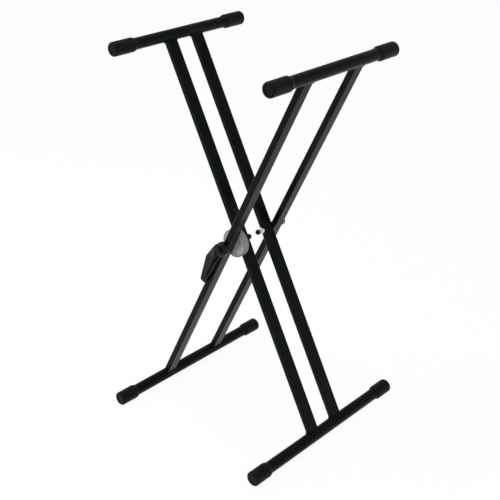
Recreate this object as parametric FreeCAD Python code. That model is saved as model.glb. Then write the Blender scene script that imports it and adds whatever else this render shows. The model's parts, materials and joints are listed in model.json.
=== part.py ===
import FreeCAD, Part
import math
import os
from FreeCAD import Vector

os.makedirs("parts", exist_ok=True)

# Folding keyboard stand: two braced frames cross like an X on one pivot line.
# X is the way the feet spread, Y runs along the crossbars, Z is up.
# The origin is on the floor, under the middle of the stand. Millimetres.
#
# The outer frame carries the release lever, the inner frame carries the clutch cup.
# Each frame is drawn in its own axes, with the pivot at the origin, Z up along its
# legs, and is then leaned over and lifted to the pivot height.

# ---- stance -------------------------------------------------------------
LEAN = 27.13                # each frame's lean from upright, degrees
UPPER_LEG = 513.0           # pivot to top bar axis
LOWER_LEG = 499.0           # pivot to foot bar axis

# ---- crossbars and their rubber caps ------------------------------------
BAR_OD = 28.0
BAR_WALL = 1.5
TOP_BAR_LENGTH = 412.0
FOOT_BAR_LENGTH = 500.0
CAP_OD = 34.4
CAP_END_WALL = 4.0
TOP_CAP_LENGTH = 65.0
FOOT_CAP_LENGTH = 54.0
CAP_END_ROUND = 4.5
CAP_TAPER = 7.0             # length of the taper at the cap's mouth
CAP_TAPER_IN = 2.3          # how much narrower the mouth is, radial
CAP_RECESS_OD = 19.0        # shallow round recess in the closed end
CAP_RECESS_DEPTH = 0.8
CAP_FIT = 0.05              # cap bore over the bar, radial

# ---- legs ---------------------------------------------------------------
LEG_WIDTH = 30.0            # along the crossbars
LEG_DEPTH = 15.0            # in the plane of the X
LEG_WALL = 1.5
LEG_CORNER = 2.5            # outside corner radius
OUTER_SPACING = 171.0       # between the outer frame's leg centres
INNER_SPACING = 85.0        # between the inner frame's leg centres
INNER_SHIFT = 7.0           # inner legs sit this far back, to leave the clutch its room
PLUG_HEIGHT = 70.0          # closing plug, up the inner front leg from the pivot
PLUG_OD = 12.0
PLUG_STEM_OD = 8.0
PLUG_PROUD = 1.5

# ---- pivot bolts and sleeves --------------------------------------------
BOLT_OD = 8.0
BOLT_HEAD_OD = 13.0
BOLT_HEAD_HEIGHT = 5.3
RUNNING_FIT = 0.1           # radial, on every turning or sliding bore
PRESS_GAP = 0.05            # radial, on pieces that do not turn on each other
FACE_GAP = 0.1              # between a leg and the face that it turns against
SLEEVE_OD = 12.0
WASHER_OD = 17.0
WASHER_THICK = 1.5
NUT_ACROSS = 13.0           # across the flats
NUT_HEIGHT = 6.5
HEX_EASE = 0.9              # chamfer on the corners of heads and nuts
SOCKET_ACROSS = 5.0
SOCKET_DEPTH = 3.0
CAP_NUT_HEX = 6.5
CAP_NUT_DOME = 5.5
REAR_THREAD_OUT = 21.0      # rear bolt beyond the inner leg's face
BALL_CAP_OD = 13.0
BALL_CAP_WALL = 1.8
HEAD_COVER_OD = 17.0        # plastic cover over the rear bolt's head
HEAD_COVER_HEIGHT = 8.0
HEAD_COVER_ROUND = 3.5

# ---- toothed clutch between the front legs ------------------------------
CLOSE_ANGLE = 50.0          # from this stance to legs together, degrees
OPEN_ANGLE = 40.0           # from this stance to the lowest height, degrees
FRONT_DISC_OD = 64.0
FRONT_DISC_BODY = 5.5
FRONT_DISC_ROUND = 1.6
FRONT_DISC_FLAT_OD = 30.0   # flat middle that seats on the leg
FRONT_DISC_DOME = 182.0     # radius of the domed face round it
FRONT_DISC_STEP = 0.4       # rim set back from the rest of the face
FRONT_DISC_STEP_OD = 52.0
DISC_RIM_WALL = 2.3
TOOTH_COUNT = 36            # one tooth is 10 degrees of fold
TOOTH_HEIGHT = 1.5
TOOTH_RING_ID = 40.0
TOOTH_RING_OD = 57.0
GROOVE_ANGLE = 5.2          # groove between teeth at half height, degrees
TOOTH_FLANK = 0.5           # how far a tooth's side slopes over its height
CREST_GAP = 0.4             # between the two discs' crests
CUP_OD = 69.0
CUP_BORE = 60.0
CUP_FLOOR = 2.0
CUP_ROUND = 2.0
CUP_MOUTH_GAP = 0.6         # cup mouth to the front disc's rim
CUP_LIP = 4.0               # the cup's lip reaches this far over the front disc's rim
CUP_LIP_FIT = 0.4           # radial
CUP_LIP_ROUND = 1.2
SLIDER_BODY = 4.0
SLIDER_FIT = 0.3            # radial, inside the cup
KEY_COUNT = 3
KEY_WIDTH = 8.0
KEY_HEIGHT = 2.0
SPRING_POCKET_ID = 19.0
SPRING_POCKET_OD = 30.0
SPRING_POCKET_DEPTH = 2.5
CLUTCH_SPRING_OD = 25.2
CLUTCH_WIRE = 1.2
CLUTCH_TURNS = 3.0
ARCS_PER_TURN = 16
STOP_RADIUS = 17.5          # stop peg's distance from the pivot axis
STOP_PEG_OD = 2.6
STOP_PEG_LENGTH = 7.0
STOP_SIDE_GAP = 0.3

# ---- release lever ------------------------------------------------------
RELEASE_TRAVEL = 2.5        # how far the pins push the slider
LEVER_SWING = 22.0          # degrees
HUB_PLATE_THICK = 2.0
HUB_OD = 34.0
HUB_DEPTH = 12.2
HUB_FRONT_WALL = 3.5
HUB_CAVITY_OD = 28.0
HUB_FRONT_ROUND = 7.5
HUB_RECESS_OD = 21.0        # shallow recess round the bolt head
HUB_RECESS_DEPTH = 1.5
HUB_BOSS_OD = 10.8
HUB_GAP = 0.3               # hub to hub plate
PIN_OD = 4.0
PIN_RADIUS = 10.2           # push pins' distance from the pivot axis
PIN_PROUD = 3.0             # push pin beyond the hub plate
RAMP_WIDTH = 4.8
RAMP_PIN_GAP = 0.6
RAMP_TOP_GAP = 0.3          # ramp crest inside the hub's rim face
LEVER_SPRING_OD = 14.2
LEVER_WIRE = 1.0
LEVER_TURNS = 4.0
HANDLE_FACE = 8.5           # handle's outer face beyond the leg's outer face
HANDLE_DEPTH = 26.0
HANDLE_WALL = 2.5
HANDLE_LENGTH = 123.8       # pivot axis to the handle's free end
HANDLE_LEG_GAP = 1.0
SHOULDER_TOP = 12.0         # slope from the hub's front to the handle's face starts here
SHOULDER_FOOT = 42.0        # and ends here, down the leg
SHOULDER_SIDE = -9.0        # inner side of the shoulder, across the leg
# Handle outline as (across the leg, down the leg, corner radius); minus is the
# upper side of the leg.
HANDLE_OUTLINE = [
    (-16.3, -4.3, 0.0),
    (-30.8, 51.0, 22.0),
    (-18.1, HANDLE_LENGTH, 2.0),
    (-2.7, HANDLE_LENGTH, 3.0),
    (1.6, 76.0, 40.0),
    (1.8, 40.0, 30.0),
    (9.0, 8.0, 0.0),
]
# Hollow of the channel, drawn the same way and set in by the wall.
HANDLE_HOLLOW = [
    (HANDLE_LENGTH, 28.0, 0.0),
    (-24.5, 28.0, 2.0),
    (-30.8, 51.0, 19.5),
    (-18.1, HANDLE_LENGTH, 0.5),
    (HANDLE_LENGTH, HANDLE_LENGTH, 0.0),
]
# Slot through the handle's face, beside the lip that lies over the leg.
HANDLE_SLOT = [
    (-1.8, 22.0, 1.2),
    (-7.4, 52.0, 40.0),
    (-7.6, 99.0, 1.2),
    (-4.0, 99.0, 1.2),
    (-2.8, 52.0, 40.0),
    (2.6, 24.0, 1.2),
]

# ---- worked out from the above ------------------------------------------
lean = math.radians(LEAN)
BAR_R = BAR_OD / 2
CAP_R = CAP_OD / 2
BOLT_R = BOLT_OD / 2
BORE_R = BOLT_R + RUNNING_FIT
PIVOT_HEIGHT = CAP_R + LOWER_LEG * math.cos(lean)

# Faces along Y: front legs first, then rear legs.
outer_front_mid = -OUTER_SPACING / 2
outer_rear_mid = OUTER_SPACING / 2
inner_front_mid = INNER_SHIFT - INNER_SPACING / 2
inner_rear_mid = INNER_SHIFT + INNER_SPACING / 2
half_width = LEG_WIDTH / 2
outer_front_face = outer_front_mid - half_width
disc_seat = outer_front_mid + half_width
cup_seat = inner_front_mid - half_width
nut_seat = inner_front_mid + half_width

# Clutch stack, from the outer leg's inner face towards the inner leg.
disc_root = disc_seat + FRONT_DISC_BODY
disc_crest = disc_root + TOOTH_HEIGHT
slider_crest = disc_crest + CREST_GAP
slider_root = slider_crest + TOOTH_HEIGHT
slider_back = slider_root + SLIDER_BODY
cup_mouth = disc_crest + CUP_MOUTH_GAP
cup_floor = cup_seat - CUP_FLOOR

# Lever stack, from the outer leg's outer face outwards.
plate_face = outer_front_face - HUB_PLATE_THICK
hub_back = plate_face - HUB_GAP
hub_front = hub_back - HUB_DEPTH
hub_ceiling = hub_front + HUB_FRONT_WALL
pin_tip = plate_face - PIN_PROUD


# ---- helpers ------------------------------------------------------------
def along_y(radius, y0, y1, x=0.0, z=0.0):
    """A round bar along Y."""
    return Part.makeCylinder(radius, y1 - y0, Vector(x, y0, z), Vector(0, 1, 0))


def ring_y(radius, bore, y0, y1, x=0.0, z=0.0):
    """A tube or washer along Y."""
    return along_y(radius, y0, y1, x, z).cut(along_y(bore, y0 - 1, y1 + 1, x, z))


def turn_to_y(shape):
    """Stand a shape drawn round Z on the Y axis."""
    turned = shape.copy()
    turned.rotate(Vector(0, 0, 0), Vector(1, 0, 0), -90)
    return turned


def rounded_wire(corners, to_point):
    """Closed outline through corners (a, b, radius) with tangent arcs."""
    edges = []
    count = len(corners)
    starts = []
    ends = []
    mids = []
    for i, (a, b, radius) in enumerate(corners):
        here = Vector(a, b, 0)
        before = Vector(*corners[i - 1][:2], 0) - here
        after = Vector(*corners[(i + 1) % count][:2], 0) - here
        before.normalize()
        after.normalize()
        half = before.getAngle(after) / 2
        reach = radius / math.tan(half)
        toward = before + after
        toward.normalize()
        centre = here + toward * (radius / math.sin(half))
        starts.append(here + before * reach)
        ends.append(here + after * reach)
        mids.append(centre - toward * radius)
    for i, (_, _, radius) in enumerate(corners):
        if radius > 0:
            arc = Part.Arc(to_point(starts[i]), to_point(mids[i]), to_point(ends[i]))
            edges.append(arc.toShape())
        nxt = (i + 1) % count
        edges.append(Part.makeLine(to_point(ends[i]), to_point(starts[nxt])))
    return Part.Wire(edges)


def rounded_box(across, along, radius):
    """Corner list of a rounded rectangle about the origin."""
    a = across / 2
    b = along / 2
    return [(-a, -b, radius), (a, -b, radius), (a, b, radius), (-a, b, radius)]


def hexagon_y(across_flats, y0, y1):
    """A hexagonal prism along Y."""
    corner = across_flats / 2 / math.cos(math.radians(30))
    points = [
        Vector(corner * math.cos(math.radians(60 * i)), y0, corner * math.sin(math.radians(60 * i)))
        for i in range(7)
    ]
    face = Part.Face(Part.makePolygon(points))
    return face.extrude(Vector(0, y1 - y0, 0))


def hexagon_eased(across_flats, y0, y1):
    """A hexagonal prism along Y with its corners eased at both ends."""
    corner = across_flats / 2 / math.cos(math.radians(30))
    limit = along_y(corner, y0, y1)
    limit = limit.makeChamfer(HEX_EASE, [e for e in limit.Edges if isinstance(e.Curve, Part.Circle)])
    return hexagon_y(across_flats, y0, y1).common(limit)


def fillet_at(shape, radius, wanted):
    """Round the circular edges that wanted(edge) picks."""
    edges = [edge for edge in shape.Edges if wanted(edge)]
    return shape.makeFillet(radius, edges)


def solid_between(near, far):
    """A flat-sided solid between two outlines with the same number of corners."""
    count = len(near)
    outlines = [near, far]
    for i in range(count):
        k = (i + 1) % count
        outlines.append([near[i], near[k], far[k], far[i]])
    faces = [Part.Face(Part.makePolygon(outline + outline[:1])) for outline in outlines]
    solid = Part.makeSolid(Part.makeShell(faces))
    if solid.Volume < 0:
        solid.reverse()
    return solid


def circle_edge(y, radius):
    """Pick the circle of that radius about the pivot axis, at that Y."""
    def wanted(edge):
        if not isinstance(edge.Curve, Part.Circle):
            return False
        same_y = abs(edge.Curve.Center.y - y) < 0.01
        return same_y and abs(edge.Curve.Radius - radius) < 0.01
    return wanted


def placed(shape, frame):
    """Lean a shape drawn in a frame's own axes over and lift it to the pivot."""
    angle = LEAN if frame == "outer" else -LEAN
    moved = shape.copy()
    moved.rotate(Vector(0, 0, 0), Vector(0, 1, 0), angle)
    moved.translate(Vector(0, 0, PIVOT_HEIGHT))
    return moved


nodes = {}


def keep(name, shape, frame):
    """File a finished piece under its node name."""
    nodes[name] = placed(shape, frame)


# ---- frames: legs, crossbars, caps --------------------------------------
def leg(mid, holes):
    """A rectangular tube leg, coped round both crossbars, bored for its sleeve."""
    def at_foot(point):
        return Vector(point.x, mid + point.y, -LOWER_LEG)

    up = Vector(0, 0, UPPER_LEG + LOWER_LEG)
    skin = Part.Face(rounded_wire(rounded_box(LEG_DEPTH, LEG_WIDTH, LEG_CORNER), at_foot))
    core_corner = LEG_CORNER - LEG_WALL
    core_box = rounded_box(LEG_DEPTH - 2 * LEG_WALL, LEG_WIDTH - 2 * LEG_WALL, core_corner)
    core = Part.Face(rounded_wire(core_box, at_foot))
    tube = skin.extrude(up).cut(core.extrude(up))
    for height in (UPPER_LEG, -LOWER_LEG):
        tube = tube.cut(along_y(BAR_R, mid - LEG_WIDTH, mid + LEG_WIDTH, 0, height))
    sleeve_hole = along_y(SLEEVE_OD / 2 + PRESS_GAP, mid - LEG_WIDTH, mid + LEG_WIDTH)
    for hole in [sleeve_hole] + holes:
        tube = tube.cut(hole)
    return tube


def sleeve(mid):
    """The steel sleeve that keeps the pivot bolt from crushing a leg."""
    return ring_y(SLEEVE_OD / 2, BORE_R, mid - half_width, mid + half_width)


def crossbar(length, height):
    """A round tube along Y."""
    return ring_y(BAR_R, BAR_R - BAR_WALL, -length / 2, length / 2, 0, height)


def cap(bar_length, cap_length, height, end):
    """A rubber cap on one end of a crossbar; end is -1 for the front, 1 for the rear."""
    closed = bar_length / 2 + CAP_END_WALL
    mouth = closed - cap_length
    straight = cap_length - CAP_TAPER
    body = Part.makeCylinder(CAP_R, straight, Vector(0, 0, CAP_TAPER))
    body = fillet_at(body, CAP_END_ROUND, lambda e: abs(e.CenterOfMass.z - cap_length) < 0.01)
    body = body.fuse(Part.makeCone(CAP_R - CAP_TAPER_IN, CAP_R, CAP_TAPER)).removeSplitter()
    body = body.cut(Part.makeCylinder(BAR_R + CAP_FIT, cap_length - CAP_END_WALL))
    recess_floor = Vector(0, 0, cap_length - CAP_RECESS_DEPTH)
    body = body.cut(Part.makeCylinder(CAP_RECESS_OD / 2, CAP_RECESS_DEPTH + 1, recess_floor))
    body.rotate(Vector(0, 0, 0), Vector(1, 0, 0), -90 * end)
    body.translate(Vector(0, end * mouth, height))
    return body


pin_holes = [
    along_y(PIN_OD / 2 + RUNNING_FIT, outer_front_mid - LEG_WIDTH, outer_front_mid + LEG_WIDTH, 0, z)
    for z in (-PIN_RADIUS, PIN_RADIUS)
]
plug_hole = Part.makeCylinder(
    PLUG_STEM_OD / 2 + PRESS_GAP, LEG_DEPTH,
    Vector(0, inner_front_mid, PLUG_HEIGHT), Vector(1, 0, 0))

leg_plan = [
    ("outer_leg_front", "outer", outer_front_mid, pin_holes),
    ("outer_leg_rear", "outer", outer_rear_mid, []),
    ("inner_leg_front", "inner", inner_front_mid, [plug_hole]),
    ("inner_leg_rear", "inner", inner_rear_mid, []),
]
for name, frame, mid, holes in leg_plan:
    keep(name, leg(mid, holes), frame)
    keep(name.replace("leg", "sleeve"), sleeve(mid), frame)

bar_plan = [
    ("top", TOP_BAR_LENGTH, TOP_CAP_LENGTH, UPPER_LEG),
    ("foot", FOOT_BAR_LENGTH, FOOT_CAP_LENGTH, -LOWER_LEG),
]
for frame in ("outer", "inner"):
    for place, bar_length, cap_length, height in bar_plan:
        keep(f"{frame}_{place}_bar", crossbar(bar_length, height), frame)
        for side, end in (("front", -1), ("rear", 1)):
            cap_name = f"{frame}_{place}_cap_{side}"
            keep(cap_name, cap(bar_length, cap_length, height, end), frame)


def leg_plug():
    """The domed plug that closes a hole in the inner front leg's upper face."""
    face = LEG_DEPTH / 2
    stem_length = LEG_WALL + 2
    across = Vector(1, 0, 0)
    stem_base = Vector(face - stem_length, inner_front_mid, PLUG_HEIGHT)
    stem = Part.makeCylinder(PLUG_STEM_OD / 2, stem_length, stem_base, across)
    head_base = Vector(face, inner_front_mid, PLUG_HEIGHT)
    head = Part.makeCylinder(PLUG_OD / 2, PLUG_PROUD, head_base, across)
    head = fillet_at(head, PLUG_PROUD * 0.8, lambda e: e.BoundBox.XMin > face + PLUG_PROUD - 0.01)
    return head.fuse(stem).removeSplitter()


keep("leg_plug", leg_plug(), "inner")


# ---- clutch -------------------------------------------------------------
def tooth_ring(root, crest):
    """Radial face teeth standing from root to crest."""
    low = min(root, crest)
    high = max(root, crest)
    ring = ring_y(TOOTH_RING_OD / 2, TOOTH_RING_ID / 2, low, high)
    over = crest + (crest - root)
    corners = []
    for radius in (TOOTH_RING_ID / 2 - 1, TOOTH_RING_OD / 2 + 1):
        middle = radius * math.tan(math.radians(GROOVE_ANGLE / 2))
        floor_half = middle - TOOTH_FLANK / 2
        over_half = middle + TOOTH_FLANK * 1.5
        corners.append([
            Vector(radius, root, -floor_half),
            Vector(radius, root, floor_half),
            Vector(radius, over, over_half),
            Vector(radius, over, -over_half),
        ])
    groove = solid_between(corners[0], corners[1])
    grooves = []
    for i in range(TOOTH_COUNT):
        one = groove.copy()
        one.rotate(Vector(0, 0, 0), Vector(0, 1, 0), 360.0 * i / TOOTH_COUNT)
        grooves.append(one)
    return ring.cut(Part.makeCompound(grooves))


def stop_slot(y0, y1):
    """Curved slot in the slider, as long as the fold's travel between its stops."""
    slot_r = STOP_PEG_OD / 2 + STOP_SIDE_GAP
    height = y1 - y0
    sweep = CLOSE_ANGLE + OPEN_ANGLE
    middle = Part.makeCylinder(STOP_RADIUS + slot_r, height, Vector(0, 0, y0), Vector(0, 0, 1), sweep)
    middle = middle.cut(Part.makeCylinder(STOP_RADIUS - slot_r, height, Vector(0, 0, y0)))
    slot = middle
    for angle in (0, sweep):
        turn = math.radians(angle)
        at = Vector(STOP_RADIUS * math.cos(turn), STOP_RADIUS * math.sin(turn), y0)
        slot = slot.fuse(Part.makeCylinder(slot_r, height, at))
    # Drawn from 0 to the full sweep; the peg stands at the outer frame's own X, which
    # lies twice the lean further round in the inner frame's axes.
    slot.rotate(Vector(0, 0, 0), Vector(0, 0, 1), 2 * LEAN - CLOSE_ANGLE)
    return turn_to_y(slot)


def front_disc():
    """Toothed disc fixed to the outer front leg, with the fold's stop peg."""
    def domed(radius, set_back):
        reach = math.sqrt(FRONT_DISC_DOME ** 2 - (FRONT_DISC_FLAT_OD / 2) ** 2)
        centre = Vector(0, disc_seat + reach + set_back, 0)
        ball = Part.makeSphere(FRONT_DISC_DOME, centre)
        return along_y(radius, disc_seat, disc_root).common(ball)

    rim = domed(FRONT_DISC_OD / 2, FRONT_DISC_STEP)
    rim_edges = [
        edge for edge in rim.Edges
        if isinstance(edge.Curve, Part.Circle)
        and abs(edge.Curve.Radius - FRONT_DISC_OD / 2) < 0.01
        and edge.Curve.Center.y < disc_root - 0.5
    ]
    body = rim.makeFillet(FRONT_DISC_ROUND, rim_edges).fuse(domed(FRONT_DISC_STEP_OD / 2, 0))
    rim_bore = FRONT_DISC_OD / 2 - DISC_RIM_WALL
    rim = ring_y(FRONT_DISC_OD / 2, rim_bore, disc_root, disc_crest)
    peg = along_y(STOP_PEG_OD / 2, disc_root, disc_root + STOP_PEG_LENGTH, STOP_RADIUS)
    disc = body.fuse([rim, tooth_ring(disc_root, disc_crest), peg])
    disc = disc.cut(along_y(BORE_R, disc_seat - 1, disc_crest + 1))
    for z in (-PIN_RADIUS, PIN_RADIUS):
        disc = disc.cut(along_y(PIN_OD / 2 + RUNNING_FIT, disc_seat - 1, disc_crest + 1, 0, z))
    return disc


def keyway(width, reach, y0, y1, angle):
    """A radial bar that a key or its slot is made of."""
    bar = Part.makeBox(reach, y1 - y0, width, Vector(0, y0, -width / 2))
    bar.rotate(Vector(0, 0, 0), Vector(0, 1, 0), angle)
    return bar


key_reach = CUP_BORE / 2 + KEY_HEIGHT
key_angles = [360.0 * i / KEY_COUNT + 60 for i in range(KEY_COUNT)]


def clutch_cup():
    """Housing fixed to the inner front leg; three slots keep the slider from turning."""
    lip_end = cup_mouth - CUP_LIP
    cup = along_y(CUP_OD / 2, lip_end, cup_seat)
    cup = fillet_at(cup, CUP_ROUND, circle_edge(cup_seat, CUP_OD / 2))
    cup = fillet_at(cup, CUP_LIP_ROUND, circle_edge(lip_end, CUP_OD / 2))
    cup = cup.cut(along_y(FRONT_DISC_OD / 2 + CUP_LIP_FIT, lip_end - 1, cup_mouth))
    cup = cup.cut(along_y(CUP_BORE / 2, cup_mouth - 1, cup_floor))
    for angle in key_angles:
        slot = keyway(KEY_WIDTH + 2 * SLIDER_FIT, key_reach + SLIDER_FIT, cup_mouth - 1, cup_floor, angle)
        cup = cup.cut(slot)
    return cup.cut(along_y(BORE_R, cup_mouth - 1, cup_seat + 1))


def clutch_slider():
    """Toothed disc that the spring pushes towards the front disc."""
    body = along_y(CUP_BORE / 2 - SLIDER_FIT, slider_root, slider_back)
    keys = [keyway(KEY_WIDTH, key_reach, slider_root, slider_back, angle) for angle in key_angles]
    slider = body.fuse(keys + [tooth_ring(slider_root, slider_crest)])
    pocket_floor = slider_back - SPRING_POCKET_DEPTH
    slider = slider.cut(ring_y(SPRING_POCKET_OD / 2, SPRING_POCKET_ID / 2, pocket_floor, slider_back + 1))
    slider = slider.cut(stop_slot(slider_root - 1, slider_back + 1))
    return slider.cut(along_y(BORE_R, slider_crest - 1, slider_back + 1))


def coil(outside, wire, turns, y0, y1):
    """A round-wire coil about the pivot axis, between two faces, swept along short arcs."""
    mean = outside / 2 - wire / 2
    pitch = (y1 - y0 - wire) / turns

    def point(turn):
        angle = 2 * math.pi * turn
        return Vector(mean * math.cos(angle), y0 + wire / 2 + pitch * turn, -mean * math.sin(angle))

    arcs = []
    for i in range(int(turns * ARCS_PER_TURN)):
        marks = [point((i + share) / ARCS_PER_TURN) for share in (0, 0.5, 1)]
        arcs.append(Part.Arc(*marks).toShape())
    section = Part.Wire(Part.makeCircle(wire / 2, point(0), point(0.001) - point(0)))
    print(f"coil of {turns:g} turns: {pitch - wire:.2f} mm between turns")
    return Part.Wire(arcs).makePipeShell([section], True, False)


keep("front_clutch_disc", front_disc(), "outer")
keep("clutch_cup", clutch_cup(), "inner")
keep("clutch_slider", clutch_slider(), "inner")
spring_seat = slider_back - SPRING_POCKET_DEPTH
keep("clutch_spring", coil(CLUTCH_SPRING_OD, CLUTCH_WIRE, CLUTCH_TURNS, spring_seat, cup_floor), "inner")


# ---- release lever ------------------------------------------------------
def push_pins():
    """Two pins through the outer leg: round ends under the lever's ramps."""
    end = slider_root - SLIDER_FIT
    pins = []
    for z in (-PIN_RADIUS, PIN_RADIUS):
        shaft = along_y(PIN_OD / 2, pin_tip + PIN_OD / 2, end, 0, z)
        ball = Part.makeSphere(PIN_OD / 2, Vector(0, pin_tip + PIN_OD / 2, z))
        pins.append(shaft.fuse(ball).removeSplitter())
    return Part.makeCompound(pins)


def hub_plate():
    """Steel plate on the outer leg that closes the back of the lever's hub."""
    plate = ring_y(HUB_OD / 2, BORE_R, plate_face, outer_front_face)
    for z in (-PIN_RADIUS, PIN_RADIUS):
        plate = plate.cut(along_y(PIN_OD / 2 + RUNNING_FIT, plate_face - 1, outer_front_face + 1, 0, z))
    return plate


def ramp(side):
    """Sloped block in the hub that drives one push pin as the lever swings."""
    run = PIN_RADIUS * math.sin(math.radians(LEVER_SWING))
    slope = RELEASE_TRAVEL / run
    low = pin_tip - RAMP_PIN_GAP
    crest = hub_back - RAMP_TOP_GAP
    crest_run = (crest - low) / slope
    lead = PIN_OD / 2 + RAMP_PIN_GAP
    tail = crest_run + PIN_OD / 2
    z0 = PIN_RADIUS - RAMP_WIDTH / 2
    outline = Part.makePolygon([
        Vector(lead, hub_ceiling - 1, z0),
        Vector(lead, low - slope * lead, z0),
        Vector(-crest_run, crest, z0),
        Vector(-tail, crest, z0),
        Vector(-tail, hub_ceiling - 1, z0),
        Vector(lead, hub_ceiling - 1, z0),
    ])
    block = Part.Face(outline).extrude(Vector(0, 0, RAMP_WIDTH))
    block = block.common(along_y(HUB_CAVITY_OD / 2 + 0.5, hub_ceiling - 1, hub_back))
    if side < 0:
        block.rotate(Vector(0, 0, 0), Vector(0, 1, 0), 180)
    return block


def handle():
    """U-channel grip that lies along the leg's upper side, open towards the leg."""
    face = outer_front_face - HANDLE_FACE
    back = face + HANDLE_DEPTH

    def on_face(point):
        return Vector(point.x, face, -point.y)

    def on_hub_front(point):
        return Vector(point.x, hub_front, -point.y)

    def on_floor(point):
        return Vector(point.x + HANDLE_WALL, face + HANDLE_WALL, HANDLE_WALL - point.y)

    outline = rounded_wire(HANDLE_OUTLINE, on_face)
    outside = Part.Face(outline).extrude(Vector(0, HANDLE_DEPTH, 0))
    hollow_face = Part.Face(rounded_wire(HANDLE_HOLLOW, on_floor))
    hollow = hollow_face.extrude(Vector(0, HANDLE_DEPTH - 2 * HANDLE_WALL, 0))
    grip = outside.cut(hollow)
    slot = Part.Face(rounded_wire(HANDLE_SLOT, on_face))
    grip = grip.cut(slot.extrude(Vector(0, HANDLE_WALL, 0)))
    # The shoulder slopes from the hub's front down to the handle's face.
    swell = Part.Face(rounded_wire(HANDLE_OUTLINE, on_hub_front)).extrude(Vector(0, face - hub_front, 0))
    reach = HANDLE_LENGTH + HANDLE_WALL
    slope = Part.Face(Part.makePolygon([
        Vector(-reach, hub_front, HANDLE_LENGTH),
        Vector(-reach, hub_front, -SHOULDER_TOP),
        Vector(-reach, face, -SHOULDER_FOOT),
        Vector(-reach, face, HANDLE_LENGTH),
        Vector(-reach, hub_front, HANDLE_LENGTH),
    ])).extrude(Vector(reach + SHOULDER_SIDE, 0, 0))
    grip = grip.fuse(swell.common(slope))
    # The channel clears the leg, and the hub plate and hub turn clear of its root.
    leg_side = -LEG_DEPTH / 2 - HANDLE_LEG_GAP
    leg_room = Part.makeBox(reach, HANDLE_DEPTH, 2 * reach, Vector(leg_side, plate_face, -reach))
    hub_room = along_y(HUB_OD / 2 + HANDLE_LEG_GAP, hub_back, back + 1)
    return grip.cut(leg_room).cut(hub_room)


def release_lever():
    """Moulded lever: hub with boss and ramps, and the channel-shaped handle."""
    hub = along_y(HUB_OD / 2, hub_front, hub_back)
    hub = fillet_at(hub, HUB_FRONT_ROUND, circle_edge(hub_front, HUB_OD / 2))
    lever = hub.fuse(handle())
    lever = lever.cut(along_y(HUB_CAVITY_OD / 2, hub_ceiling, hub_back + 1))
    lever = lever.cut(along_y(HUB_RECESS_OD / 2, hub_front - 1, hub_front + HUB_RECESS_DEPTH))
    boss = along_y(HUB_BOSS_OD / 2, hub_ceiling, hub_back)
    lever = lever.fuse([boss, ramp(1), ramp(-1)])
    lever = lever.cut(along_y(BORE_R, hub_front - 1, hub_back + 1))
    return lever.removeSplitter()


keep("push_pins", push_pins(), "outer")
keep("hub_plate", hub_plate(), "outer")
keep("release_lever", release_lever(), "outer")
lever_spring_back = hub_back - RAMP_TOP_GAP
keep("lever_spring", coil(LEVER_SPRING_OD, LEVER_WIRE, LEVER_TURNS,
                          hub_ceiling + RAMP_TOP_GAP, lever_spring_back), "outer")


# ---- pivot bolts --------------------------------------------------------
def washer(y0):
    """A plain washer on the pivot axis."""
    return ring_y(WASHER_OD / 2, BOLT_R + PRESS_GAP, y0, y0 + WASHER_THICK)


front_washer_y = hub_front + HUB_RECESS_DEPTH - HUB_GAP - WASHER_THICK
cap_nut_y = nut_seat + FACE_GAP


def clutch_bolt():
    """Front pivot bolt, with a low domed head outside the lever's hub."""
    head_y = front_washer_y - BOLT_HEAD_HEIGHT
    head = along_y(BOLT_HEAD_OD / 2, head_y, front_washer_y)
    head = fillet_at(head, BOLT_HEAD_HEIGHT * 0.6, circle_edge(head_y, BOLT_HEAD_OD / 2))
    head = head.cut(hexagon_y(SOCKET_ACROSS, head_y - 1, head_y + SOCKET_DEPTH))
    return head.fuse(along_y(BOLT_R, front_washer_y, cap_nut_y + CAP_NUT_HEX))


def cap_nut():
    """Closed domed nut on the front bolt, inside the inner leg."""
    shell = hexagon_eased(NUT_ACROSS, cap_nut_y, cap_nut_y + CAP_NUT_HEX)
    dome_y = cap_nut_y + CAP_NUT_HEX
    dome = along_y(NUT_ACROSS / 2 - 0.4, dome_y, dome_y + CAP_NUT_DOME)
    dome = fillet_at(dome, CAP_NUT_DOME * 0.9, circle_edge(dome_y + CAP_NUT_DOME, NUT_ACROSS / 2 - 0.4))
    nut = shell.fuse(dome)
    return nut.cut(along_y(BOLT_R + PRESS_GAP, cap_nut_y - 1, cap_nut_y + CAP_NUT_HEX))


rear_face = outer_rear_mid + half_width
rear_washer_y = rear_face
rear_head_y = rear_washer_y + WASHER_THICK
rear_nut_face = inner_rear_mid - half_width - FACE_GAP
rear_bolt_end = rear_nut_face - REAR_THREAD_OUT


def rear_bolt():
    """Rear pivot bolt, from its hexagon head outside to its bare thread inside."""
    head = hexagon_eased(BOLT_HEAD_OD, rear_head_y, rear_head_y + BOLT_HEAD_HEIGHT)
    return head.fuse(along_y(BOLT_R, rear_bolt_end, rear_head_y))


def rear_nut():
    """Hexagon nut against the inner rear leg."""
    body = hexagon_eased(NUT_ACROSS, rear_nut_face - NUT_HEIGHT, rear_nut_face)
    return body.cut(along_y(BOLT_R + PRESS_GAP, rear_nut_face - NUT_HEIGHT - 1, rear_nut_face + 1))


def rear_spacer():
    """Spacer that keeps the rear legs apart."""
    y0 = inner_rear_mid + half_width + FACE_GAP
    y1 = outer_rear_mid - half_width
    return ring_y(SLEEVE_OD / 2 + 4, BOLT_R + PRESS_GAP, y0, y1)


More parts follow.
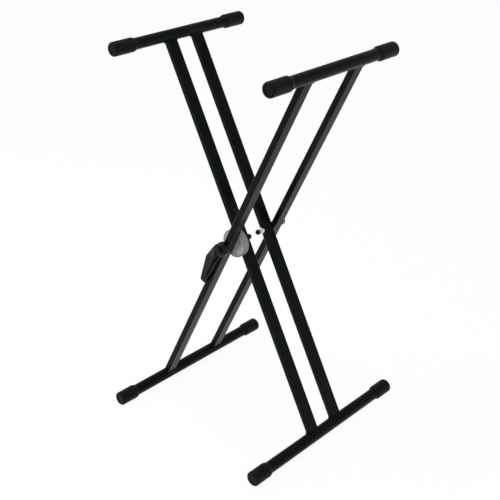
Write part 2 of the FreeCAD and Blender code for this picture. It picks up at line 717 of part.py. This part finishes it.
def rear_head_cover():
    """Plastic cover pressed over the rear bolt's head."""
    end = rear_head_y + HEAD_COVER_HEIGHT
    cover = along_y(HEAD_COVER_OD / 2, rear_head_y, end)
    cover = fillet_at(cover, HEAD_COVER_ROUND, circle_edge(end, HEAD_COVER_OD / 2))
    head_corner = BOLT_HEAD_OD / 2 / math.cos(math.radians(30))
    pocket_end = rear_head_y + BOLT_HEAD_HEIGHT + PRESS_GAP
    return cover.cut(along_y(head_corner + PRESS_GAP, rear_head_y - 1, pocket_end))


def ball_cap():
    """Ball cap pushed over the rear bolt's bare thread."""
    centre = rear_bolt_end - BALL_CAP_WALL + BALL_CAP_OD / 2
    ball = Part.makeSphere(BALL_CAP_OD / 2, Vector(0, centre, 0))
    return ball.cut(along_y(BOLT_R + PRESS_GAP, rear_bolt_end, centre + BALL_CAP_OD))


keep("clutch_bolt", clutch_bolt(), "outer")
keep("clutch_washer", washer(front_washer_y), "outer")
keep("clutch_cap_nut", cap_nut(), "outer")
keep("rear_bolt", rear_bolt(), "outer")
keep("rear_washer", washer(rear_washer_y), "outer")
keep("rear_spacer", rear_spacer(), "outer")
keep("rear_nut", rear_nut(), "outer")
keep("rear_ball_cap", ball_cap(), "outer")
keep("rear_head_cover", rear_head_cover(), "outer")

for name, shape in nodes.items():
    for solid in shape.Solids:
        if not solid.isValid():
            print("not valid:", name)
    print(f"{name:24s} solids {len(shape.Solids)} volume {shape.Volume / 1000:9.2f} cm3")
    shape.exportStep(f"parts/{name}.step")
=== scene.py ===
import json
import math
import random

import bmesh
import bpy
from mathutils import Matrix, Vector


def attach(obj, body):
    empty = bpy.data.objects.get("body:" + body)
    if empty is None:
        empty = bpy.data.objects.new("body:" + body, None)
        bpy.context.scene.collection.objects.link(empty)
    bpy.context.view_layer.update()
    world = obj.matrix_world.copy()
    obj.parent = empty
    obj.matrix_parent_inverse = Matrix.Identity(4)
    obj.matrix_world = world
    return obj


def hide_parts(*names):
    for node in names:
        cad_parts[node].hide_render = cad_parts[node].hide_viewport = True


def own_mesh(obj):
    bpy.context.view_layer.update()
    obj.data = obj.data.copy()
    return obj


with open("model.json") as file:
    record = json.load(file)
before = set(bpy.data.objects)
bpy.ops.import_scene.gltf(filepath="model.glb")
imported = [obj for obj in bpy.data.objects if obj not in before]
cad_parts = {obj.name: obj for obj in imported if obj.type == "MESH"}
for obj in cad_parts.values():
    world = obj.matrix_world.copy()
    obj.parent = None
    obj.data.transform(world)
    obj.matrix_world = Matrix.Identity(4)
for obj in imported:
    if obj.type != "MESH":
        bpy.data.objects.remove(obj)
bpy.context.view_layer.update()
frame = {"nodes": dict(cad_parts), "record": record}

# A folding keyboard stand. Metres, in the CAD frame: X is the way the feet spread,
# Y runs along the crossbars, Z is up, and the floor is z = 0.
# Pieces are drawn in a frame's own axes, with the pivot at the origin and Z up along
# the legs, and in millimetres, and are put in place by the frame's matrix.

MM = 0.001
random.seed(7)

# ---- sizes shared with the solids, in millimetres -------------------------
LEAN = math.radians(27.13)
UPPER_LEG = 513.0
LOWER_LEG = 499.0
BAR_R = 14.0
CAP_R = 17.2
LEG_WIDTH = 30.0
LEG_DEPTH = 15.0
LEG_CORNER = 2.5
OUTER_MIDS = (-85.5, 85.5)
INNER_MIDS = (-35.5, 49.5)
PIVOT_HEIGHT = CAP_R + LOWER_LEG * math.cos(LEAN)
BOLT_R = 4.0

UPRIGHT = Matrix.Translation((0, 0, PIVOT_HEIGHT * MM))
FRAMES = {
    "outer_frame": UPRIGHT @ Matrix.Rotation(LEAN, 4, "Y"),
    "inner_frame": UPRIGHT @ Matrix.Rotation(-LEAN, 4, "Y"),
}


# ---- materials --------------------------------------------------------------
class Nodes:
    """Short names for building one material's node tree."""

    def __init__(self, name):
        self.material = bpy.data.materials.new(name)
        self.material.use_nodes = True
        self.tree = self.material.node_tree
        self.shader = self.tree.nodes["Principled BSDF"]
        self.place = self.add("ShaderNodeTexCoord").outputs["Object"]

    def add(self, kind, **values):
        node = self.tree.nodes.new(kind)
        for key, value in values.items():
            if key in node.inputs:
                node.inputs[key].default_value = value
            else:
                setattr(node, key, value)
        return node

    def join(self, source, target):
        self.tree.links.new(source, target)

    def noise(self, scale, detail=4.0, roughness=0.55):
        node = self.add("ShaderNodeTexNoise", Scale=scale, Detail=detail, Roughness=roughness)
        self.join(self.place, node.inputs["Vector"])
        return node.outputs["Fac"]

    def speckle(self, scale):
        node = self.add("ShaderNodeTexVoronoi", Scale=scale)
        self.join(self.place, node.inputs["Vector"])
        return node.outputs["Distance"]

    def rings_about_pivot(self, scale):
        """Rings round the pivot axis."""
        centred = self.add("ShaderNodeMapping", Location=(0, 0, -PIVOT_HEIGHT * MM))
        self.join(self.place, centred.inputs["Vector"])
        node = self.add("ShaderNodeTexWave", wave_type="RINGS", rings_direction="Y",
                        Scale=scale, Distortion=0.6, Detail=2.0)
        self.join(centred.outputs["Vector"], node.inputs["Vector"])
        return node.outputs["Fac"]

    def spread(self, source, low, high, start=0.3, end=0.7):
        """Source from start to end, as low to high."""
        node = self.add("ShaderNodeMapRange")
        node.inputs["From Min"].default_value = start
        node.inputs["From Max"].default_value = end
        node.inputs["To Min"].default_value = low
        node.inputs["To Max"].default_value = high
        self.join(source, node.inputs["Value"])
        return node.outputs["Result"]

    def blend(self, fac, dark, light, start=0.35, end=0.65):
        """Colour from dark to light as fac goes from start to end."""
        node = self.add("ShaderNodeValToRGB")
        ramp = node.color_ramp
        ramp.elements[0].position = start
        ramp.elements[0].color = (*dark, 1)
        ramp.elements[1].position = end
        ramp.elements[1].color = (*light, 1)
        self.join(fac, node.inputs["Fac"])
        return node.outputs["Color"]

    def tint(self, under, over, fac):
        """Colour under, covered with the plain colour over where fac is high."""
        node = self.add("ShaderNodeMix", data_type="RGBA")
        self.join(fac, node.inputs["Factor"])
        self.join(under, node.inputs[6])
        node.inputs[7].default_value = (*over, 1)
        return node.outputs[2]

    def bump(self, heights):
        """Chain of (height, strength, distance in metres)."""
        normal = None
        for height, strength, distance in heights:
            node = self.add("ShaderNodeBump", Strength=strength, Distance=distance)
            self.join(height, node.inputs["Height"])
            if normal is not None:
                self.join(normal, node.inputs["Normal"])
            normal = node.outputs["Normal"]
        self.join(normal, self.shader.inputs["Normal"])

    def specular(self, level):
        self.shader.inputs["Specular IOR Level"].default_value = level

    def set(self, **values):
        """Shader inputs by name: a socket is linked, a value is set on the input itself."""
        for key, value in values.items():
            socket = self.shader.inputs[key.replace("_", " ")]
            if isinstance(value, bpy.types.NodeSocket):
                self.join(value, socket)
            else:
                socket.default_value = value


# Paint, and the dust on it; the sheen is a little greenish.
PAINT_DARK = (0.0022, 0.0038, 0.0028)
PAINT_LIGHT = (0.0044, 0.0066, 0.0052)
WELD_LIGHT = (0.0048, 0.0070, 0.0056)
DUST = (0.036, 0.040, 0.036)
GREEN_SHEEN = (0.84, 1.0, 0.88)


def powder_coat(name, light, gloss):
    """Semi-gloss black powder coat with its slight orange peel and a little dust."""
    n = Nodes(name)
    cloud = n.noise(9.0, 5.0)
    dust = n.spread(n.noise(160.0, 6.0, 0.7), 0.0, 0.12, 0.52, 0.78)
    n.set(
        Base_Color=n.tint(n.blend(cloud, PAINT_DARK, light), DUST, dust),
        Roughness=n.spread(n.noise(22.0, 6.0, 0.6), *gloss),
    )
    n.bump([
        (n.noise(420.0, 2.0, 0.5), 0.12, 0.0003),
        (n.noise(2600.0, 2.0, 0.5), 0.06, 0.00008),
    ])
    n.specular(0.07)
    n.shader.inputs["Specular Tint"].default_value = (*GREEN_SHEEN, 1)
    return n.material


def rubber(name):
    """Soft black rubber: matt, finely grained, greyer where it is handled."""
    n = Nodes(name)
    cloud = n.noise(38.0, 6.0, 0.65)
    scuff = n.spread(n.noise(120.0, 8.0, 0.75), 0.0, 0.35, 0.55, 0.8)
    n.set(
        Base_Color=n.tint(n.blend(cloud, (0.0022, 0.0030, 0.0026), (0.0046, 0.0056, 0.0050)),
                          (0.014, 0.016, 0.0145), scuff),
        Roughness=n.spread(cloud, 0.40, 0.54),
    )
    n.bump([
        (n.noise(900.0, 3.0, 0.6), 0.25, 0.0002),
        (n.noise(3200.0, 2.0, 0.5), 0.15, 0.0001),
    ])
    n.specular(0.09)
    return n.material


SILVER_METALLIC = 0.4


def turned_metal(name, dark, light, roughness):
    """Silver-painted metal turned round the pivot axis, with its fine rings."""
    n = Nodes(name)
    cloud = n.noise(46.0, 5.0, 0.6)
    n.set(
        Base_Color=n.blend(cloud, dark, light),
        Metallic=SILVER_METALLIC,
        Roughness=n.spread(n.noise(90.0, 5.0, 0.6), *roughness),
    )
    n.bump([
        (n.rings_about_pivot(1400.0), 0.10, 0.00006),
        (n.noise(1500.0, 3.0, 0.6), 0.12, 0.00005),
    ])
    return n.material


def plated_steel(name, dark, light, roughness):
    """Zinc-plated or oiled steel with cloudy plating."""
    n = Nodes(name)
    cloud = n.noise(240.0, 5.0, 0.6)
    n.set(
        Base_Color=n.blend(cloud, dark, light),
        Metallic=1.0,
        Roughness=n.spread(n.noise(600.0, 4.0, 0.6), *roughness),
    )
    n.bump([(n.noise(1900.0, 3.0, 0.6), 0.10, 0.00005)])
    return n.material


def moulded_plastic(name):
    """Black moulded plastic with a fine spark-eroded texture and rubbed high spots."""
    n = Nodes(name)
    cloud = n.noise(60.0, 6.0, 0.6)
    rub = n.spread(n.noise(34.0, 8.0, 0.7), 0.0, 0.25, 0.5, 0.8)
    n.set(
        Base_Color=n.tint(n.blend(cloud, (0.0022, 0.0032, 0.0029), (0.0048, 0.0062, 0.0058)),
                          (0.017, 0.020, 0.019), rub),
        Roughness=n.spread(n.noise(150.0, 4.0), 0.28, 0.40),
    )
    n.bump([
        (n.speckle(1500.0), 0.16, 0.00010),
        (n.noise(4200.0, 2.0), 0.12, 0.00006),
    ])
    n.specular(0.16)
    return n.material


PAINT = powder_coat("frame_powder_coat", PAINT_LIGHT, (0.17, 0.27))
WELD = powder_coat("weld_powder_coat", WELD_LIGHT, (0.17, 0.28))
RUBBER = rubber("cap_rubber")
# The clutch silver is one finish in two copies. The lighter copy, used on the disc's face, is the
# silver's colour with painted light added. The darker copy, used on the cup's wall, is painted shade.
SILVER_PAINTED_LIGHT = turned_metal("clutch_silver_painted_light", (0.340, 0.350, 0.326), (0.480, 0.490, 0.462), (0.36, 0.48))
CUP_SILVER_PAINTED_SHADE = turned_metal("clutch_cup_silver_painted_shade", (0.200, 0.206, 0.192), (0.290, 0.296, 0.278), (0.40, 0.52))
ZINC = plated_steel("bright_zinc", (0.70, 0.71, 0.71), (0.84, 0.85, 0.85), (0.16, 0.26))
SPRING = plated_steel("spring_steel", (0.34, 0.34, 0.35), (0.46, 0.46, 0.47), (0.26, 0.36))
BLACK_STEEL = plated_steel("black_oxide", (0.010, 0.011, 0.011), (0.022, 0.023, 0.023), (0.36, 0.48))
PLASTIC = moulded_plastic("lever_plastic")

SLOT_MATERIALS = {
    "frame_paint": PAINT,
    "rubber_caps": RUBBER,
    "silver_clutch": SILVER_PAINTED_LIGHT,
    "zinc_steel": ZINC,
    "spring_steel": SPRING,
    "black_steel": BLACK_STEEL,
    "black_plastic": PLASTIC,
}
# Nodes whose colour is painted darker than the rest of their slot: the cup's wall gets a darker copy of
# the clutch silver, as painted shade.
PAINTED_SHADE_NODE_MATERIALS = {"clutch_cup": CUP_SILVER_PAINTED_SHADE}
for part in frame["record"]["subparts"]:
    mesh = frame["nodes"][part["node"]].data
    mesh.materials.clear()
    mesh.materials.append(PAINTED_SHADE_NODE_MATERIALS.get(part["node"]) or SLOT_MATERIALS[part["material_slot"]])


# ---- building pieces ---------------------------------------------------------
MERGE_DISTANCE = 1e-7


def hang_on(name, mesh, body):
    """An object with that mesh, riding on a body."""
    piece = bpy.data.objects.new(name, mesh)
    bpy.context.scene.collection.objects.link(piece)
    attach(piece, body)
    return piece


def add_piece(name, points, faces, body, material):
    """A smooth mesh piece from points in millimetres in its body's own frame."""
    mesh = bpy.data.meshes.new(name)
    mesh.from_pydata([FRAMES[body] @ (Vector(p) * MM) for p in points], [], faces)
    work = bmesh.new()
    work.from_mesh(mesh)
    bmesh.ops.remove_doubles(work, verts=work.verts, dist=MERGE_DISTANCE)
    bmesh.ops.recalc_face_normals(work, faces=work.faces)
    work.to_mesh(mesh)
    work.free()
    for polygon in mesh.polygons:
        polygon.use_smooth = True
    mesh.materials.append(material)
    hang_on(name, mesh, body)


def sweep(path, radius_at, sides):
    """Points and faces of a closed tube round a closed path of (point, out) pairs."""
    points = []
    faces = []
    count = len(path)
    for i, (here, out) in enumerate(path):
        along = (path[(i + 1) % count][0] - path[i - 1][0]).normalized()
        across = (out - along * out.dot(along)).normalized()
        third = along.cross(across)
        for k in range(sides):
            turn = 2 * math.pi * k / sides
            points.append(here + (across * math.cos(turn) + third * math.sin(turn)) * radius_at(i))
    for i in range(count):
        for k in range(sides):
            a = i * sides + k
            b = i * sides + (k + 1) % sides
            c = (i + 1) % count * sides + (k + 1) % sides
            d = (i + 1) % count * sides + k
            faces.append((a, b, c, d))
    return points, faces


# ---- welds between legs and crossbars -------------------------------------------
WELD_R = 2.1
WELD_SIDES = 10
WELD_STEP = 0.8             # between points along the bead
WELD_PROUD = 0.5            # bead's middle beyond the leg's face
WELD_LIFT = 0.6             # and off the crossbar
RIPPLE = 3.2                # length of one ripple
RIPPLE_LOW = 0.86           # bead's thickness in a dip, as a share of its radius
RIPPLE_RISE = 0.16
DRIFT_STEPS = 12            # slow changes in thickness round the leg
DRIFT = 0.12


def leg_outline(step):
    """Points round a leg's rounded section, with outward directions."""
    a = LEG_DEPTH / 2 - LEG_CORNER
    b = LEG_WIDTH / 2 - LEG_CORNER
    outline = []
    runs = [
        ((a, -b), (a, b), 0),
        ((a, b), (-a, b), 90),
        ((-a, b), (-a, -b), 180),
        ((-a, -b), (a, -b), 270),
    ]
    for (ax, ay), (bx, by), angle in runs:
        out = Vector((math.cos(math.radians(angle)), math.sin(math.radians(angle)), 0))
        length = math.hypot(bx - ax, by - ay)
        count = max(2, round(length / step))
        for i in range(count):
            share = i / count
            base = Vector((ax + (bx - ax) * share, ay + (by - ay) * share, 0))
            outline.append((base + out * LEG_CORNER, out))
        arc = max(2, round(LEG_CORNER * math.pi / 2 / step))
        for i in range(arc):
            turn = math.radians(angle + 90 * i / arc)
            out = Vector((math.cos(turn), math.sin(turn), 0))
            outline.append((Vector((bx, by, 0)) + out * LEG_CORNER, out))
    return outline


def weld(name, body, mid, height):
    """A rippled bead where a leg meets its crossbar; height is the bar's place up the leg."""
    toward = -1 if height > 0 else 1
    path = []
    for base, out in leg_outline(WELD_STEP):
        spot = base + out * WELD_PROUD
        drop = math.sqrt(BAR_R ** 2 - spot.x ** 2) + WELD_LIFT
        path.append((Vector((spot.x, mid + spot.y, height + toward * drop)), out))
    phase = random.uniform(0, math.pi)
    drift = [random.uniform(-DRIFT, DRIFT) for _ in range(DRIFT_STEPS)]

    def radius_at(i):
        wave = abs(math.sin(phase + math.pi * i * WELD_STEP / RIPPLE))
        slow = drift[int(DRIFT_STEPS * i / len(path))]
        return WELD_R * (RIPPLE_LOW + RIPPLE_RISE * wave) + slow

    points, faces = sweep(path, radius_at, WELD_SIDES)
    add_piece(name, points, faces, body, WELD)


for body, mids in (("outer_frame", OUTER_MIDS), ("inner_frame", INNER_MIDS)):
    for side, mid in zip(("front", "rear"), mids):
        for place, height in (("top", UPPER_LEG), ("foot", -LOWER_LEG)):
            weld(f"weld_{body}_{place}_{side}", body, mid, height)


# ---- bare thread between the ball cap and the rear nut ----------------------------
THREAD_FROM = 23.6
THREAD_TO = 27.4
THREAD_PITCH = 1.25
THREAD_CREST = 0.28         # ridge's height over the bolt
THREAD_ROOT = 0.1           # and how far its foot is sunk in it
THREAD_FOOT_HALF = 0.5
THREAD_CREST_HALF = 0.08
THREAD_STEPS = 28           # per turn
THREAD_FADE = 6             # each end fades over one part in six


def thread(name, body, y0, y1):
    """A helical ridge round the rear bolt, fading out at both ends."""
    count = round((y1 - y0) / THREAD_PITCH * THREAD_STEPS)
    points = []
    faces = []
    for i in range(count + 1):
        turn = 2 * math.pi * i / THREAD_STEPS
        middle = y0 + THREAD_PITCH * i / THREAD_STEPS
        fade = min(1.0, THREAD_FADE * i / count, THREAD_FADE * (count - i) / count)
        crest = BOLT_R + THREAD_CREST * fade
        root = BOLT_R - THREAD_ROOT
        profile = [
            (-THREAD_FOOT_HALF, root),
            (-THREAD_CREST_HALF, crest),
            (THREAD_CREST_HALF, crest),
            (THREAD_FOOT_HALF, root),
        ]
        for offset, radius in profile:
            points.append((radius * math.cos(turn), middle + offset, radius * math.sin(turn)))
    for i in range(count):
        for k in range(4):
            a = i * 4 + k
            b = i * 4 + (k + 1) % 4
            faces.append((a, b, b + 4, a + 4))
    faces.append((0, 1, 2, 3))
    last = count * 4
    faces.append((last + 3, last + 2, last + 1, last))
    add_piece(name, points, faces, body, ZINC)


thread("rear_bolt_thread", "outer_frame", THREAD_FROM, THREAD_TO)


def shortening_spring(name, node_name, body):
    """The node's own coil, copied onto a piece that rides on the body, with the node itself hidden."""
    node = frame["nodes"][node_name]
    mesh = node.data.copy()
    mesh.name = name
    mesh.transform(node.matrix_world)
    piece = hang_on(name, mesh, body)
    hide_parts(node_name)
    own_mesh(piece)


shortening_spring("clutch_spring_coil", "clutch_spring", "inner_frame")


# ---- studio ---------------------------------------------------------------------
def seen_ray(tree):
    """1 for rays that show the surroundings: to the camera, in a reflection, through glass."""
    ray = tree.nodes.new("ShaderNodeLightPath")
    found = ray.outputs["Is Camera Ray"]
    for kind in ("Is Glossy Ray", "Is Transmission Ray"):
        either = tree.nodes.new("ShaderNodeMath")
        either.operation = "MAXIMUM"
        tree.links.new(found, either.inputs[0])
        tree.links.new(ray.outputs[kind], either.inputs[1])
        found = either.outputs[0]
    return found


PAPER_SHADE = 0.95
PAPER_CLOUD = 0.01          # how much lighter its light patches are
PAPER_GLOW = 0.94           # share of plain white that the camera and reflections see


def paper(name):
    """White paper for the floor: white to the camera and in reflections, and a little
    darker in the object's shadow."""
    n = Nodes(name)
    light_shade = PAPER_SHADE + PAPER_CLOUD
    n.set(Base_Color=n.blend(n.noise(3.0), (PAPER_SHADE,) * 3, (light_shade,) * 3), Roughness=0.9)
    n.specular(0.1)
    light = n.add("ShaderNodeEmission", Strength=1.0)
    share = n.add("ShaderNodeMath", operation="MULTIPLY")
    n.join(seen_ray(n.tree), share.inputs[0])
    share.inputs[1].default_value = PAPER_GLOW
    mix = n.add("ShaderNodeMixShader")
    n.join(share.outputs[0], mix.inputs["Fac"])
    n.join(n.shader.outputs[0], mix.inputs[1])
    n.join(light.outputs[0], mix.inputs[2])
    n.join(mix.outputs[0], n.tree.nodes["Material Output"].inputs["Surface"])
    return n.material


FLOOR = 30.0                # half the floor's side, metres
FLOOR_DROP = 0.0006         # under the feet, metres

floor_mesh = bpy.data.meshes.new("floor")
corners = [(-FLOOR, -FLOOR, 0), (FLOOR, -FLOOR, 0), (FLOOR, FLOOR, 0), (-FLOOR, FLOOR, 0)]
floor_mesh.from_pydata(corners, [], [(0, 1, 2, 3)])
floor_mesh.materials.append(paper("floor_paper"))
floor = bpy.data.objects.new("floor", floor_mesh)
floor.location = (0, 0, -FLOOR_DROP)
bpy.context.scene.collection.objects.link(floor)


MIDDLE = (0, 0, 0.46)


def softbox(name, spot, size, watts):
    """A rectangular lamp that faces the middle of the stand."""
    lamp = bpy.data.lights.new(name, "AREA")
    lamp.shape = "RECTANGLE"
    lamp.size, lamp.size_y = size
    lamp.energy = watts
    thing = bpy.data.objects.new(name, lamp)
    thing.location = spot
    aim = Vector(MIDDLE) - Vector(spot)
    thing.rotation_euler = aim.to_track_quat("-Z", "Y").to_euler()
    bpy.context.scene.collection.objects.link(thing)


softbox("key", (-2.5, -1.9, 2.7), (1.8, 1.8), 54)
softbox("fill", (3.0, -0.4, 1.8), (1.8, 2.4), 9)
softbox("top", (-0.3, -0.1, 3.4), (1.4, 1.4), 34)

WORLD_LIGHT = 0.5
HORIZON_BAND = (0.06, 0.22)  # upward share of the heading, from all white to none


def pale_world(tree):
    """An even world that is seen white at the horizon, like the floor it meets."""
    def ramp(source, start, end, low, high):
        node = tree.nodes.new("ShaderNodeMapRange")
        for key, value in (("From Min", start), ("From Max", end), ("To Min", low), ("To Max", high)):
            node.inputs[key].default_value = value
        tree.links.new(source, node.inputs["Value"])
        return node.outputs["Result"]

    heading = tree.nodes.new("ShaderNodeSeparateXYZ")
    tree.links.new(tree.nodes.new("ShaderNodeTexCoord").outputs["Generated"], heading.inputs[0])
    white = tree.nodes.new("ShaderNodeMath")
    white.operation = "MULTIPLY"
    tree.links.new(ramp(heading.outputs["Z"], *HORIZON_BAND, 1.0, 0.0), white.inputs[0])
    tree.links.new(seen_ray(tree), white.inputs[1])
    back = tree.nodes["Background"]
    back.inputs["Color"].default_value = (1, 1, 1, 1)
    tree.links.new(ramp(white.outputs[0], 0.0, 1.0, WORLD_LIGHT, 1.0), back.inputs["Strength"])


world = bpy.data.worlds.new("studio")
bpy.context.scene.world = world
world.use_nodes = True
pale_world(world.node_tree)

# ---- camera ----------------------------------------------------------------------
CAMERA_SPOT = (1.46888, -1.59407, 1.49080)
AZIMUTH = math.radians(44.189)
ELEVATION = math.radians(21.185)
ROLL = math.radians(-0.816)
FOCAL_PIXELS = 998.77
PICTURE = 500
CENTRE = (227.78, 161.10)   # where the lens axis meets the picture, pixels
SENSOR = 36.0
FAR_CLIP = 100

camera_data = bpy.data.cameras.new("camera")
camera_data.sensor_width = SENSOR
camera_data.lens = SENSOR * FOCAL_PIXELS / PICTURE
camera_data.shift_x = (PICTURE / 2 - CENTRE[0]) / PICTURE
camera_data.shift_y = (CENTRE[1] - PICTURE / 2) / PICTURE
camera_data.clip_end = FAR_CLIP
camera = bpy.data.objects.new("camera", camera_data)
forward = Vector((
    -math.sin(AZIMUTH) * math.cos(ELEVATION),
    math.cos(AZIMUTH) * math.cos(ELEVATION),
    -math.sin(ELEVATION),
))
level = Vector((math.cos(AZIMUTH), math.sin(AZIMUTH), 0))
above = level.cross(forward)
right = level * math.cos(ROLL) + above * math.sin(ROLL)
up = above * math.cos(ROLL) - level * math.sin(ROLL)
turned = Matrix((right, up, -forward)).transposed().to_4x4()
camera.matrix_world = Matrix.Translation(CAMERA_SPOT) @ turned
bpy.context.scene.collection.objects.link(camera)
bpy.context.scene.camera = camera

bpy.context.scene.view_settings.view_transform = "Standard"
